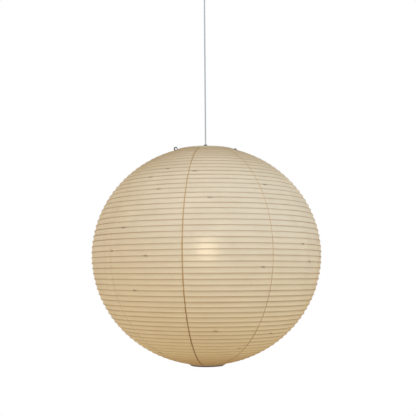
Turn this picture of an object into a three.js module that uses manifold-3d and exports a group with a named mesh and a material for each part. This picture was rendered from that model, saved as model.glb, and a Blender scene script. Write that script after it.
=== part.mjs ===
// Round paper pendant lantern: nine washi gores over a bamboo spiral, held open by a steel wire
// stretcher that hangs, with its lamp holder and bulb, on a flex from a small ceiling cup.
// Millimetres, +Z up, front towards -Y. The origin is on the ceiling, on the flex's axis.
import * as THREE from 'three';
import { mergeVertices } from 'three/addons/utils/BufferGeometryUtils.js';
import Module from 'manifold-3d';

const wasm = await Module();
wasm.setup();

// ---- Driving dimensions -------------------------------------------------------------------------
const GAP = 0.3; // between pieces that touch
const DROP = 980; // ceiling to the centre of the globe

const GLOBE_R = 375; // half the globe's width
const GLOBE_H = 357; // half the height of the ellipsoid that the paper follows
const PAPER = 0.6;
const GORES = 9;
const FACETS_PER_GORE = 2;
const PAPER_ROWS = 14;
const SEAM_AZIMUTH = -10.2; // degrees from the front, towards +X, of the first seam
const PAPER_TOP = 74.4; // parametric latitudes, in degrees, where the paper stops
const PAPER_BOTTOM = -80.1;

const RIB_R = 1.25; // a split bamboo rib's half thickness
const RIB_INSET = 4.2; // from the paper's outer surface to a rib's middle
const RIB_TOP = 73.6;
const RIB_PITCH = 2.77; // degrees of latitude for each turn
const RIB_TURNS = 55;
const RIB_SPLINTS = 5;

const WIRE_R = 1.6; // stretcher and ring wire
const WIRE_SIDES = 6;
const STRETCHER_TURN = 12; // degrees that the stretcher is turned in the globe
const TOP_RING_R = 92;
const TOP_RING_Z = 347.2;
const BOTTOM_RING_R = 50.5;
const BOTTOM_RING_Z = -353.5;
const COLLAR = 1.2; // thickness of the rims' collars
const BRIDGE_Z = TOP_RING_Z - 2 * WIRE_R - GAP;
const BRIDGE_EYE_R = 9.8; // the bridge's middle ring, round the flex
const RISE_X = 96; // where a bridge arm turns up, outside the top ring
const EYE_R = 4.9; // the arms' end eyes, to the middle of the wire
const EYE_Z = 350.4;
const LEG_X = 44.5;
const FOOT_END = 51;

const FLEX_R = 2.2;
const HOLDER_Z = 93; // the lamp holder's shoulder
const BULB_R = 30;
const BULB_Z = 19;

const CUP_R = 55;
const CUP_H = 52;
const BOOT_TOP = -56.3;
const BOOT_TIP = -82;
const SWING_GAP = 0.6; // under the boot, so that the flex can swing

// ---- Materials ----------------------------------------------------------------------------------
const material = (color, roughness, metalness = 0) =>
  new THREE.MeshStandardMaterial({ color, roughness, metalness });
const washi = material(0xe6d8b8, 0.9);
const bamboo = material(0xb08a58, 0.6);
const rimCard = material(0x8a6a4a, 0.8);
const steel = material(0x6a6869, 0.4, 1);
const rubber = material(0x4a4a4a, 0.8);
const flexCover = material(0xb8b8b9, 0.7);
const bakelite = material(0xe8e6e0, 0.4);
const ceramic = material(0xf2f0ea, 0.3);
const brass = material(0xc9a14a, 0.35, 1);
const nickel = material(0xb9b7b0, 0.3, 1);
const opal = material(0xfff6e0, 0.25);
const enamel = material(0xefeeea, 0.35);
const copper = material(0xb5562e, 0.5);

// ---- Geometry helpers ---------------------------------------------------------------------------
const radians = THREE.MathUtils.degToRad;

/** A closed mesh with shared vertices, no empty triangles, and its faces pointing out. */
function closed(geometry) {
  const bare = geometry.clone();
  bare.deleteAttribute('normal');
  bare.deleteAttribute('uv');
  const merged = mergeVertices(bare, 1e-4);
  const p = merged.attributes.position;
  const corner = [new THREE.Vector3(), new THREE.Vector3(), new THREE.Vector3()];
  const kept = [];
  let volume = 0;
  for (let i = 0; i < merged.index.count; i += 3) {
    const face = [0, 1, 2].map((k) => merged.index.getX(i + k));
    if (new Set(face).size < 3) continue;
    kept.push(...face);
    face.forEach((v, k) => corner[k].fromBufferAttribute(p, v));
    volume += corner[0].dot(corner[1].clone().cross(corner[2]));
  }
  if (volume < 0) kept.reverse();
  merged.setIndex(kept);
  return merged;
}

function toSolid(geometry) {
  const mesh = closed(geometry);
  return new wasm.Manifold(
    new wasm.Mesh({
      numProp: 3,
      vertProperties: new Float32Array(mesh.attributes.position.array),
      triVerts: new Uint32Array(mesh.index.array),
    }),
  );
}

function fromSolid(solid) {
  const mesh = solid.getMesh();
  const geometry = new THREE.BufferGeometry();
  geometry.setAttribute('position', new THREE.BufferAttribute(mesh.vertProperties, 3));
  geometry.setIndex(new THREE.BufferAttribute(mesh.triVerts, 1));
  return geometry;
}

/** A body of revolution about Z from [radius, height] points. */
function lathe(profile, segments = 16, start = 0) {
  const points = profile.map(([r, z]) => new THREE.Vector2(r, z));
  return closed(new THREE.LatheGeometry(points, segments, radians(start)).rotateX(Math.PI / 2));
}

/** A ring of revolution: the profile closes on itself. */
const latheRing = (profile, segments = 16) => lathe([...profile, profile[0]], segments);

const wireRing = (radius, wire, segments = 24) =>
  closed(new THREE.TorusGeometry(radius, wire, WIRE_SIDES, segments));

function disc(radius, sides) {
  const points = Array.from({ length: sides }, (_, i) => {
    const a = ((i + 0.5) / sides) * 2 * Math.PI;
    return new THREE.Vector2(radius * Math.cos(a), radius * Math.sin(a));
  });
  return new THREE.Shape(points);
}

/** A path through stations that a section meets one after another. */
class Route extends THREE.Curve {
  constructor(stations) {
    super();
    this.stations = stations;
  }
  getPoint(t, target = new THREE.Vector3()) {
    const at = THREE.MathUtils.clamp(t, 0, 1) * (this.stations.length - 1);
    const i = Math.min(Math.floor(at), this.stations.length - 2);
    return target.lerpVectors(this.stations[i], this.stations[i + 1], at - i);
  }
  getPointAt(u, target) {
    return this.getPoint(u, target);
  }
  getTangentAt(u, target) {
    return this.getTangent(u, target);
  }
}

function tube(stations, radius, sides = WIRE_SIDES) {
  return closed(
    new THREE.ExtrudeGeometry(disc(radius, sides), {
      steps: stations.length - 1,
      extrudePath: new Route(stations),
    }),
  );
}

/** Points of an arc about a centre in the XZ plane, angles in degrees from +X towards +Z. */
function arcXZ(x, z, radius, from, to, steps) {
  return Array.from({ length: steps + 1 }, (_, i) => {
    const a = radians(from + ((to - from) * i) / steps);
    return new THREE.Vector3(x + radius * Math.cos(a), 0, z + radius * Math.sin(a));
  });
}

const xz = (x, z) => new THREE.Vector3(x, 0, z);

/** [radius, height] on the globe at a parametric latitude, a little inside the paper's face. */
function meridian(latitude, inset = 0) {
  const a = radians(latitude);
  return [(GLOBE_R - inset) * Math.cos(a), (GLOBE_H - inset) * Math.sin(a)];
}

function meridianLine(inset, from, to, rows) {
  return Array.from({ length: rows + 1 }, (_, i) =>
    meridian(from + ((to - from) * i) / rows, inset),
  );
}

const lantern = new THREE.Group(); // everything below the ceiling cup, from the globe's centre
lantern.position.z = -DROP;
const stretcher = new THREE.Group();
stretcher.rotation.z = radians(STRETCHER_TURN);
lantern.add(stretcher);
const ceiling = new THREE.Group();
const part = new THREE.Group();
part.add(ceiling, lantern);

function add(group, name, geometry, finish, position = [0, 0, 0]) {
  const mesh = new THREE.Mesh(geometry, finish);
  mesh.name = name;
  mesh.position.set(...position);
  group.add(mesh);
  return mesh;
}

// ---- Paper --------------------------------------------------------------------------------------
function paperGores() {
  const outer = meridianLine(0, PAPER_TOP, PAPER_BOTTOM, PAPER_ROWS);
  const inner = meridianLine(PAPER, PAPER_TOP, PAPER_BOTTOM, PAPER_ROWS).reverse();
  const profile = [...outer, ...inner, outer[0]];
  const globe = toSolid(lathe(profile, GORES * FACETS_PER_GORE, SEAM_AZIMUTH));
  const width = 360 / GORES;
  const reach = 2 * GLOBE_R;
  const apex = GAP / 2 / Math.sin(radians(width / 2));
  for (let i = 0; i < GORES; i += 1) {
    // A wedge from the axis, a little inside the two seams. Azimuth 0 is -Y, and +X is 90.
    const middle = radians(SEAM_AZIMUTH + (i + 0.5) * width);
    const side = (a) => new THREE.Vector2(Math.sin(a), -Math.cos(a));
    const tip = side(middle).multiplyScalar(apex);
    const left = side(middle - radians(width / 2)).multiplyScalar(reach);
    const right = side(middle + radians(width / 2)).multiplyScalar(reach);
    const wedge = new THREE.ExtrudeGeometry(
      new THREE.Shape([tip, tip.clone().add(left), tip.clone().add(right)]),
      { depth: reach, bevelEnabled: false },
    ).translate(0, 0, -reach / 2);
    add(lantern, `paper_gore_${i + 1}`, fromSolid(globe.intersect(toSolid(wedge))), washi);
  }
}

// ---- Bamboo -------------------------------------------------------------------------------------
/** One endless spiral of split bamboo, spliced from several splints. It sinks as the azimuth grows. */
function bambooSpiral() {
  const perTurn = GORES * FACETS_PER_GORE;
  const steps = RIB_TURNS * perTurn;
  const station = (i) => {
    const turn = i / perTurn;
    const [r, z] = meridian(RIB_TOP - RIB_PITCH * turn, RIB_INSET);
    const a = radians(SEAM_AZIMUTH) + turn * 2 * Math.PI;
    return new THREE.Vector3(r * Math.sin(a), -r * Math.cos(a), z);
  };
  for (let k = 0; k < RIB_SPLINTS; k += 1) {
    const first = Math.round((k * steps) / RIB_SPLINTS);
    const last = Math.round(((k + 1) * steps) / RIB_SPLINTS);
    const stations = [];
    for (let i = first; i <= last; i += 1) stations.push(station(i));
    const step = stations[1].clone().sub(stations[0]).normalize();
    if (k > 0) stations[0].addScaledVector(step, 2 * GAP);
    add(lantern, `bamboo_splint_${k + 1}`, tube(stations, RIB_R, 3), bamboo);
  }
}

// ---- Rims ---------------------------------------------------------------------------------------
/** A paper-bound card collar between two [radius, height] points on its outer face. */
function collarProfile([r0, z0], [r1, z1]) {
  const length = Math.hypot(r1 - r0, z1 - z0);
  const inward = [(-Math.abs(z1 - z0) / length) * COLLAR, (-Math.sign(z0) * (r0 - r1) * COLLAR) / length];
  return [
    [r0, z0],
    [r1, z1],
    [r1 + inward[0], z1 + inward[1]],
    [r0 + inward[0], z0 + inward[1]],
  ];
}

function rims() {
  const slot = 5; // a bridge arm passes out between the collar's halves
  const collar = toSolid(latheRing(collarProfile([100, 344.5], [95.4, 350.8]), 24));
  for (const [name, side] of [['front', -1], ['back', 1]]) {
    const half = new THREE.BoxGeometry(300, 150, 40).translate(0, side * (75 + slot / 2), TOP_RING_Z);
    const piece = fromSolid(collar.intersect(toSolid(half)));
    add(stretcher, `top_collar_${name}`, piece, rimCard);
  }
  add(lantern, 'top_ring_wire', wireRing(TOP_RING_R, WIRE_R), steel, [0, 0, TOP_RING_Z]);
  const lower = latheRing(collarProfile([62.5, -352.3], [52.5, -359.5]), 24);
  add(lantern, 'bottom_collar', lower, rimCard);
  const ring = wireRing(BOTTOM_RING_R, WIRE_R);
  add(lantern, 'bottom_ring_wire', ring, steel, [0, 0, BOTTOM_RING_Z]);
}

// ---- Stretcher ----------------------------------------------------------------------------------
function bridge() {
  const bend = 4.2;
  const arm = [
    xz(BRIDGE_EYE_R + WIRE_R + GAP, BRIDGE_Z),
    xz(LEG_X, BRIDGE_Z),
    ...arcXZ(RISE_X - bend, BRIDGE_Z + bend, bend, -90, 0, 3),
    ...arcXZ(RISE_X + EYE_R, EYE_Z, EYE_R, 180, -100, 10),
  ];
  const mirrored = arm.map((p) => xz(-p.x, p.z));
  add(stretcher, 'bridge_arm_right', tube(arm, WIRE_R), steel);
  add(stretcher, 'bridge_arm_left', tube(mirrored, WIRE_R), steel);
  add(stretcher, 'bridge_ring', wireRing(BRIDGE_EYE_R, WIRE_R, 16), steel, [0, 0, BRIDGE_Z]);
  const hole = FLEX_R + 2 * GAP;
  const neck = BRIDGE_EYE_R - WIRE_R - GAP;
  const flange = BRIDGE_Z + WIRE_R + GAP;
  const grommet = [
    [hole, 338],
    [11, 338],
    [11, BRIDGE_Z - WIRE_R - GAP],
    [neck, BRIDGE_Z - WIRE_R - GAP],
    [neck, flange],
    [11.4, flange],
    [11.4, flange + 1.6],
    [8.2, flange + 2.6],
    [7.4, 353.5],
    [5, 357.4],
    [hole, 358],
  ];
  add(lantern, 'cord_grommet', latheRing(grommet), rubber);
}

function legs() {
  const bend = BOTTOM_RING_R - LEG_X;
  const footZ = BOTTOM_RING_Z - 2 * WIRE_R - GAP;
  const leg = [
    xz(LEG_X, BRIDGE_Z - 2 * WIRE_R - GAP + WIRE_R),
    xz(LEG_X, HOLDER_Z),
    ...arcXZ(BOTTOM_RING_R, footZ + bend, bend, 180, 270, 4),
    xz(FOOT_END, footZ),
  ];
  add(stretcher, 'stretcher_leg_right', tube(leg, WIRE_R), steel);
  const mirrored = leg.map((p) => xz(-p.x, p.z));
  add(stretcher, 'stretcher_leg_left', tube(mirrored, WIRE_R), steel);
}

/** The wire ring that the lamp holder's shoulder sits on, and the two bars that tie it to the legs. */
function holderBars() {
  const ringR = 23.3;
  const z = HOLDER_Z - WIRE_R - GAP;
  add(stretcher, 'holder_ring', wireRing(ringR, WIRE_R, 16), steel, [0, 0, z]);
  for (const [name, side] of [['right', 1], ['left', -1]]) {
    const bar = [
      xz(side * (ringR + WIRE_R + GAP), z),
      xz(side * (LEG_X - WIRE_R - GAP), z),
    ];
    add(stretcher, `holder_bar_${name}`, tube(bar, WIRE_R), steel);
  }
}

// ---- Lamp holder and bulb -----------------------------------------------------------------------
function lampHolder() {
  const shell = [
    [18.1, 63],
    [20, 63],
    [20, HOLDER_Z],
    [26, HOLDER_Z],
    [26, HOLDER_Z + 2.4],
    [20, HOLDER_Z + 2.4],
    [20, 106],
    [18.1, 106],
  ];
  add(lantern, 'holder_shell', latheRing(shell), bakelite);
  const core = [[0, 97.2], [14.8, 97.2], [14.8, 66], [17.7, 66], [17.7, 104], [0, 104]];
  add(lantern, 'holder_core', lathe(core), ceramic);
  add(lantern, 'holder_thread', latheRing([[13.7, 69], [14.4, 69], [14.4, 92], [13.7, 92]]), brass);
  add(lantern, 'holder_contact', lathe([[0, 95.4], [6, 96.0], [6, 96.8], [0, 96.8]], 12), brass);
  const cap = [
    [20, 106.4],
    [19.4, 113],
    [15, 120],
    [7, 124],
    [5.2, 124],
    [5.2, 122.2],
    [14, 118.4],
    [17.8, 112],
    [18.2, 106.4],
  ];
  add(lantern, 'holder_cap', latheRing(cap), bakelite);
  const clamp = [
    [0, 112],
    [4.8, 112],
    [4.8, 124.4],
    [7.4, 124.4],
    [7.4, 128.5],
    [5, 130],
    [3.2, 150],
    [0, 150],
  ];
  add(lantern, 'holder_cord_grip', lathe(clamp, 12), rubber);
  const ring = [
    [20.4, 80.5],
    [26.5, 80.5],
    [27.5, 82],
    [27.5, 88],
    [26.5, 89.1],
    [20.4, 89.1],
  ];
  add(lantern, 'shade_ring', latheRing(ring), bakelite);
}

function bulb() {
  const neck = 12.2;
  const wall = 0.8;
  const outline = (shrink) => {
    const r = BULB_R - shrink;
    const n = neck - shrink;
    const line = [[n, 71], [n, 64]];
    for (let a = 50; a > -90; a -= 17.5) {
      line.push([r * Math.cos(radians(a)), BULB_Z + r * Math.sin(radians(a))]);
    }
    line.push([0, BULB_Z - r]);
    return line;
  };
  const glass = [...outline(0).reverse(), ...outline(wall)];
  add(lantern, 'bulb_glass', lathe(glass), opal);
  const thread = [[13.2, 65.5]];
  for (let z = 70; z < 84; z += 7.2) thread.push([12.8, z], [13.3, z + 3.6]);
  const cap = [...thread, [12.9, 86.4], [10, 90], [5.5, 90], [5.5, 89.2], [9.6, 89.2], [12.5, 85.8], [12.5, 65.5]];
  add(lantern, 'bulb_cap', latheRing(cap), nickel);
  add(lantern, 'bulb_insulator', lathe([[0, 90.3], [8.6, 90.3], [5.6, 92.6], [0, 92.6]], 16), rubber);
  add(lantern, 'bulb_tip', lathe([[0, 92.9], [4.6, 92.9], [4, 94.2], [0, 94.8]], 12), nickel);
}

// ---- Flex and ceiling cup -----------------------------------------------------------------------
function flex() {
  const top = BOOT_TIP - SWING_GAP;
  const bottom = 150 + GAP - DROP;
  const steps = 54;
  const stations = Array.from({ length: steps + 1 }, (_, i) => xz(0, top + ((bottom - top) * i) / steps));
  add(part, 'flex_cord', tube(stations, FLEX_R, 8), flexCover);
}

function hole(x, y, z, radius, along) {
  const cutter = new THREE.CylinderGeometry(radius, radius, 40, 12);
  if (along === 'z') cutter.rotateX(Math.PI / 2);
  if (along === 'x') cutter.rotateZ(Math.PI / 2);
  return toSolid(cutter.translate(x, y, z));
}

function ceilingCup() {
  const thick = 1.8;
  const half = 51;
  const lug = 16;
  const strap = new THREE.Shape([
    new THREE.Vector2(-half, 0),
    new THREE.Vector2(-half, -lug),
    new THREE.Vector2(-half + thick, -lug),
    new THREE.Vector2(-half + thick, -thick),
    new THREE.Vector2(half - thick, -thick),
    new THREE.Vector2(half - thick, -lug),
    new THREE.Vector2(half, -lug),
    new THREE.Vector2(half, 0),
  ]);
  const width = 18;
  const body = new THREE.ExtrudeGeometry(strap, { depth: width, bevelEnabled: false });
  body.rotateX(Math.PI / 2).translate(0, width / 2, 0);
  const screwX = 32;
  const sideZ = -9;
  let bracket = toSolid(body);
  for (const side of [-1, 1]) {
    bracket = bracket.subtract(hole(side * screwX, 0, -10, 2.4, 'z'));
    bracket = bracket.subtract(hole(side * half, 0, sideZ, 2, 'x'));
  }
  add(ceiling, 'ceiling_bracket', fromSolid(bracket), steel);

  const wall = 1.4;
  const cupProfile = [
    [CUP_R - wall, -0.6],
    [CUP_R, -0.6],
    [CUP_R, -38],
    [CUP_R - 3, -46],
    [CUP_R - 11, -CUP_H],
    [5.4, -CUP_H],
    [5.4, wall - CUP_H],
    [CUP_R - 11.5, wall - CUP_H],
    [CUP_R - 4.2, -45.4],
    [CUP_R - wall, -37.6],
  ];
  let cup = toSolid(latheRing(cupProfile, 24));
  for (const side of [-1, 1]) cup = cup.subtract(hole(side * CUP_R, 0, sideZ, 2, 'x'));
  add(ceiling, 'canopy_cup', fromSolid(cup), enamel);

  for (const [name, side] of [['left', -1], ['right', 1]]) {
    const ceilingScrew = [[0, -0.2], [2, -0.2], [2, -thick - GAP], [4.4, -thick - GAP], [3.6, -4.6], [0, -4.6]];
    add(ceiling, `ceiling_screw_${name}`, lathe(ceilingScrew, 8), steel, [side * screwX, 0, 0]);
    const sideScrew = lathe([[0, 0], [1.7, 0], [1.7, 9], [3.6, 9], [3.2, 11.4], [0, 11.4]], 8);
    const screw = add(ceiling, `canopy_screw_${name}`, sideScrew, steel, [side * 46.4, 0, sideZ]);
    screw.rotation.y = (side * Math.PI) / 2;
  }
  const block = new THREE.BoxGeometry(24, 15, 12).translate(0, 0, -thick - GAP - 6);
  add(ceiling, 'terminal_block', closed(block), ceramic);
  for (const [name, side] of [['brown', -1], ['blue', 1]]) {
    const stations = Array.from({ length: 9 }, (_, i) => {
      const t = i / 8;
      const spread = 6 - 3.6 * t + 4 * Math.sin(Math.PI * t);
      return new THREE.Vector3(side * spread, 0, -14.8 - 27.8 * t);
    });
    add(ceiling, `core_${name}`, tube(stations, 1.1, 6), copper);
  }
  const gland = [
    [0, -43.6],
    [9, -43.6],
    [9, wall - CUP_H + GAP],
    [5, wall - CUP_H + GAP],
    [5, -CUP_H - GAP],
    [8.4, -CUP_H - GAP],
    [8.4, -55],
    [7, BOOT_TOP + GAP],
    [0, BOOT_TOP + GAP],
  ];
  add(ceiling, 'cord_gland', lathe(gland, 12), bakelite);
  const boot = [[0, BOOT_TOP], [6, BOOT_TOP], [6, -60], [3.2, BOOT_TIP], [0, BOOT_TIP]];
  add(ceiling, 'flex_boot', lathe(boot, 12), rubber);
}

paperGores();
bambooSpiral();
rims();
bridge();
legs();
holderBars();
lampHolder();
bulb();
flex();
ceilingCup();

export default part;
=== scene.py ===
import math
import random

import bmesh
import bpy
from mathutils import Matrix, Vector, noise


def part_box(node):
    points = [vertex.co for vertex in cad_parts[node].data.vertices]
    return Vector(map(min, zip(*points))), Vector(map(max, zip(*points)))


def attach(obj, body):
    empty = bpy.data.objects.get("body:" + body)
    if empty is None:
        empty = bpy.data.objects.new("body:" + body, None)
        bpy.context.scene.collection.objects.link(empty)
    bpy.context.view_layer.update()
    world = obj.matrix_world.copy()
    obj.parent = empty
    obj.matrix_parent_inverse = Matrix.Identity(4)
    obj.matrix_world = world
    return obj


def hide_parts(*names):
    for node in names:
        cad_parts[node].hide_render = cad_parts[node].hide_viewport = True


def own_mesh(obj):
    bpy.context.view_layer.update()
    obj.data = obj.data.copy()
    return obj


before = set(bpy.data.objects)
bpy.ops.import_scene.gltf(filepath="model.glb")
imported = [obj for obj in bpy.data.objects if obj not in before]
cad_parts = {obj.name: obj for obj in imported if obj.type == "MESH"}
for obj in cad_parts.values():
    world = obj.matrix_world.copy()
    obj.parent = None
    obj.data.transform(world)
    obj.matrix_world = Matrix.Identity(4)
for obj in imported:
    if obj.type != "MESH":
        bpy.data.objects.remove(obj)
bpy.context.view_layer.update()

# ---- Driving dimensions: millimetres from the globe's centre, degrees, unless a name says otherwise
MM = 0.001
SHARP = 38  # degrees between two faces above which their edge is shaded hard
TOP_RING_Z = 347.2
CENTRE = sum(corner.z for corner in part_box("top_ring_wire")) / 2 - TOP_RING_Z * MM  # metres
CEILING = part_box("ceiling_bracket")[1].z  # metres

GLOBE_R = 375.0
GLOBE_H = 357.0
GORES = 9
SEAM_AZIMUTH = -10.2
PAPER_TOP = 74.4
PAPER_BOTTOM = -80.1
RIB_FIRST = 74.42  # latitude that the spiral's first turn would have at the front seam
RIB_PITCH = 2.848  # degrees from one turn to the next, at the top
RIB_EASE = 0.00132  # what each turn takes off that pitch, so that they lie closer further down
RIB_START = 0.3  # the turn that the bamboo itself starts at
RIB_TURNS = 55
RIB_SPLINTS = 5
RIB_LIFT = 0.46  # degrees that the upper turns are lifted at +X and lowered at -X

DIP = 2.4  # how far the paper sinks between two turns of bamboo
ROW_PHASES = (0.0, 0.06, 0.18, 0.38, 0.62, 0.82, 0.94)  # rows of the paper's mesh in one turn
GORE_COLUMNS = 32
# One value for each gore's left seam: the front one first, then round by way of +X.
SEAM_LAPS = (3.4, 2.2, 2.6, 2.4, 1.7, 2.9, 1.5, 2.2, 1.4)  # how far it laps over the gore before it
SEAM_GLUE_AND_SHADE = (1.0, 0.8, 0.2, 0.7, 0.3, 0.9, 0.25, 0.6, 0.45)  # how far glue browns it, and how much painted shade the doubled paper gets
SEAM_UNEVEN = (0.0, 1.6, 0.9, -0.7, 0.5, -1.1, 0.8, -0.4, 0.2)  # degrees off an even spacing

WIRE_R = 1.6
GAP = 0.3
STRETCHER_TURN = 12.0
TOP_RING_R = 92.0
BOTTOM_RING_R = 50.5
BOTTOM_RING_Z = -353.5
BRIDGE_Z = TOP_RING_Z - 2 * WIRE_R - GAP
BRIDGE_EYE_R = 9.8
RISE_X = 96.0
RISE_BEND = 4.2
EYE_R = 4.9
EYE_Z = 350.4
LEG_X = 44.5
FOOT_END = 51.0
HOLDER_Z = 93.0
HOLDER_RING_R = 23.3
BULB_R = 30.0
BULB_Z = 19.0
BULB_NECK_R = 12.2
BULB_NECK_Z = 66.0
BULB_SHOULDER = 50  # degrees above its middle that the globe of the bulb ends at
FLEX_R = 2.2
CUP_R = 55.0
CUP_H = 52.0
CUP_WALL = 1.4
SIDE_SCREW_Z = -9
STRAP_SCREW_X = 32

CAMERA_LENS = 69.2
CAMERA_PLACE = (0.00625, -2.638, CENTRE - 0.0689)  # metres
CAMERA_TILT = 4.85
CAMERA_LEAN = -0.47
FLOOR_DROP = 1.42  # metres from the globe's centre
FLOOR_R = 3.2  # metres


# ---- Camera
def make_camera():
    data = bpy.data.cameras.new("camera")
    data.sensor_width = 36.0
    data.lens = CAMERA_LENS
    camera = bpy.data.objects.new("camera", data)
    bpy.context.scene.collection.objects.link(camera)
    place = Matrix.Translation(CAMERA_PLACE)
    tilt = Matrix.Rotation(math.radians(90 + CAMERA_TILT), 4, "X")
    lean = Matrix.Rotation(math.radians(CAMERA_LEAN), 4, "Z")
    camera.matrix_world = place @ tilt @ lean
    bpy.context.scene.camera = camera


make_camera()


# ---- Mesh helpers
def link(name, data):
    """An object in the scene, made of a mesh, curve or light."""
    piece = bpy.data.objects.new(name, data)
    bpy.context.scene.collection.objects.link(piece)
    return piece


def mesh_from(name, solid):
    """A bmesh as a mesh; the bmesh is used up."""
    mesh = bpy.data.meshes.new(name)
    solid.to_mesh(mesh)
    solid.free()
    return mesh


def smooth(mesh, sharp=SHARP):
    mesh.shade_smooth()
    mesh.set_sharp_from_angle(angle=math.radians(sharp))


def mark(mesh, name, values):
    """Gives each point of a mesh a number, for its finish to use."""
    mesh.attributes.new(name, "FLOAT", "POINT").data.foreach_set("value", values)


def make_piece(name, points, faces, sharp=SHARP):
    """A smooth-shaded mesh object; points are in metres, in the frame's own axes."""
    mesh = bpy.data.meshes.new(name)
    mesh.from_pydata([tuple(p) for p in points], [], faces)
    mesh.validate()
    solid = bmesh.new()
    solid.from_mesh(mesh)
    bmesh.ops.recalc_face_normals(solid, faces=solid.faces)
    solid.to_mesh(mesh)
    solid.free()
    smooth(mesh, sharp)
    return link(name, mesh)


def fillet(points, radius, closed=True, steps=3):
    """The outline with each corner rounded, by no more than 0.4 of its shorter side."""
    count = len(points)
    made = []
    for i, point in enumerate(points):
        if not closed and i in (0, count - 1):
            made.append(tuple(point))
            continue
        here = Vector(point)
        before = Vector(points[i - 1]) - here
        after = Vector(points[(i + 1) % count]) - here
        reach = min(radius, 0.4 * before.length, 0.4 * after.length)
        start = here + before.normalized() * reach
        end = here + after.normalized() * reach
        for k in range(steps + 1):
            t = k / steps
            made.append(tuple(start * (1 - t) ** 2 + here * 2 * t * (1 - t) + end * t * t))
    return made


def lathe(name, profile, origin, segments=96, shape=None, closed=True):
    """A body of revolution about Z. shape(radius, height, angle) may change a point's radius."""
    rows = len(profile)
    points = []
    for radius, height in profile:
        for k in range(segments):
            angle = 2 * math.pi * k / segments
            r = shape(radius, height, angle) if shape and radius > 0 else radius
            points.append(Vector((r * math.cos(angle), r * math.sin(angle), height)) * MM + origin)
    faces = []
    for i in range(rows if closed else rows - 1):
        for k in range(segments):
            a, b = i * segments + k, i * segments + (k + 1) % segments
            c, d = (i + 1) % rows * segments + k, (i + 1) % rows * segments + (k + 1) % segments
            faces.append((a, b, d, c))
    piece = make_piece(name, points, faces)
    weld(piece)
    return piece


def weld(piece, distance=2e-6):
    """Joins points that lie together, so that a profile may touch the axis."""
    solid = bmesh.new()
    solid.from_mesh(piece.data)
    bmesh.ops.remove_doubles(solid, verts=solid.verts, dist=distance)
    bmesh.ops.dissolve_degenerate(solid, edges=solid.edges, dist=distance)
    bmesh.ops.recalc_face_normals(solid, faces=solid.faces)
    solid.to_mesh(piece.data)
    solid.free()


def tube(name, path, radius, sides=16, closed=False, swell=None):
    """A round bar along a path of points in metres; radius in millimetres. Its ends are domed.
    swell(i) may scale the radius at point i."""
    path = [Vector(p) for p in path]
    count = len(path)
    tangents = []
    for i in range(count):
        if closed:
            step = path[(i + 1) % count] - path[i - 1]
        else:
            step = path[min(i + 1, count - 1)] - path[max(i - 1, 0)]
        tangents.append(step.normalized())
    side = tangents[0].orthogonal().normalized()
    rings = []
    for i, tangent in enumerate(tangents):
        side = (side - tangent * side.dot(tangent)).normalized()
        rings.append((path[i], side.copy(), tangent.cross(side), swell(i) if swell else 1.0))
    if not closed:
        dome = []
        for share in (0.0, 0.55, 0.85):
            dome.append((share, math.sqrt(1 - (1 - share) ** 2)))
        first, last = rings[0], rings[-1]
        push = radius * MM * 0.8
        start, end = [], []
        for s, w in dome:
            reach = push * (1 - s)
            start.append((first[0] - tangents[0] * reach, first[1], first[2], max(w, 0.02)))
            end.append((last[0] + tangents[-1] * reach, last[1], last[2], max(w, 0.02)))
        rings = start + rings + end[::-1]
    points = []
    for centre, u, v, scale in rings:
        for k in range(sides):
            a = 2 * math.pi * k / sides
            points.append(centre + (u * math.cos(a) + v * math.sin(a)) * radius * scale * MM)
    faces = []
    total = len(rings)
    for i in range(total if closed else total - 1):
        for k in range(sides):
            a, b = i * sides + k, i * sides + (k + 1) % sides
            c, d = (i + 1) % total * sides + k, (i + 1) % total * sides + (k + 1) % sides
            faces.append((a, b, d, c))
    if not closed:
        faces.append(tuple(range(sides)))
        faces.append(tuple(range((total - 1) * sides, total * sides)))
    return make_piece(name, points, faces)


def wire(name, path, body="lantern", **shape):
    """A piece of the stretcher's steel wire."""
    settle(tube(name, path, WIRE_R, **shape), body, STEEL)


def turned_piece(name, profile, origin, body, material, segments=96, shape=None, closed=True):
    """A lathed piece with nothing more to be done to it."""
    settle(lathe(name, profile, origin, segments, shape, closed), body, material)


def ring_path(radius, height, steps=96):
    turn = [2 * math.pi * k / steps for k in range(steps)]
    return [Vector((radius * math.cos(a), radius * math.sin(a), height)) * MM + LANTERN for a in turn]


def settle(piece, body, material, node=None):
    """A finished piece: what it rides on, its finish, and the CAD node that it stands for, which is the
    one that it is named after if none is given."""
    piece.data.materials.clear()
    piece.data.materials.append(material)
    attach(piece, body)
    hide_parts(node or piece.name.removesuffix("_fine"))


LANTERN = Vector((0, 0, CENTRE))
TOP = Vector((0, 0, CEILING))


def turned(points):
    """[x, height] points in the stretcher's own plane, turned with it about the flex."""
    a = math.radians(STRETCHER_TURN)
    return [Vector((x * math.cos(a), x * math.sin(a), z)) * MM + LANTERN for x, z in points]


def arc(x, z, radius, start, end, steps):
    angles = [math.radians(start + (end - start) * k / steps) for k in range(steps + 1)]
    return [(x + radius * math.cos(a), z + radius * math.sin(a)) for a in angles]


def run(start, end, steps):
    """Points along a straight run, the first left out."""
    share = [(k + 1) / steps for k in range(steps)]
    return [tuple(a + (b - a) * t for a, b in zip(start, end)) for t in share]


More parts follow.
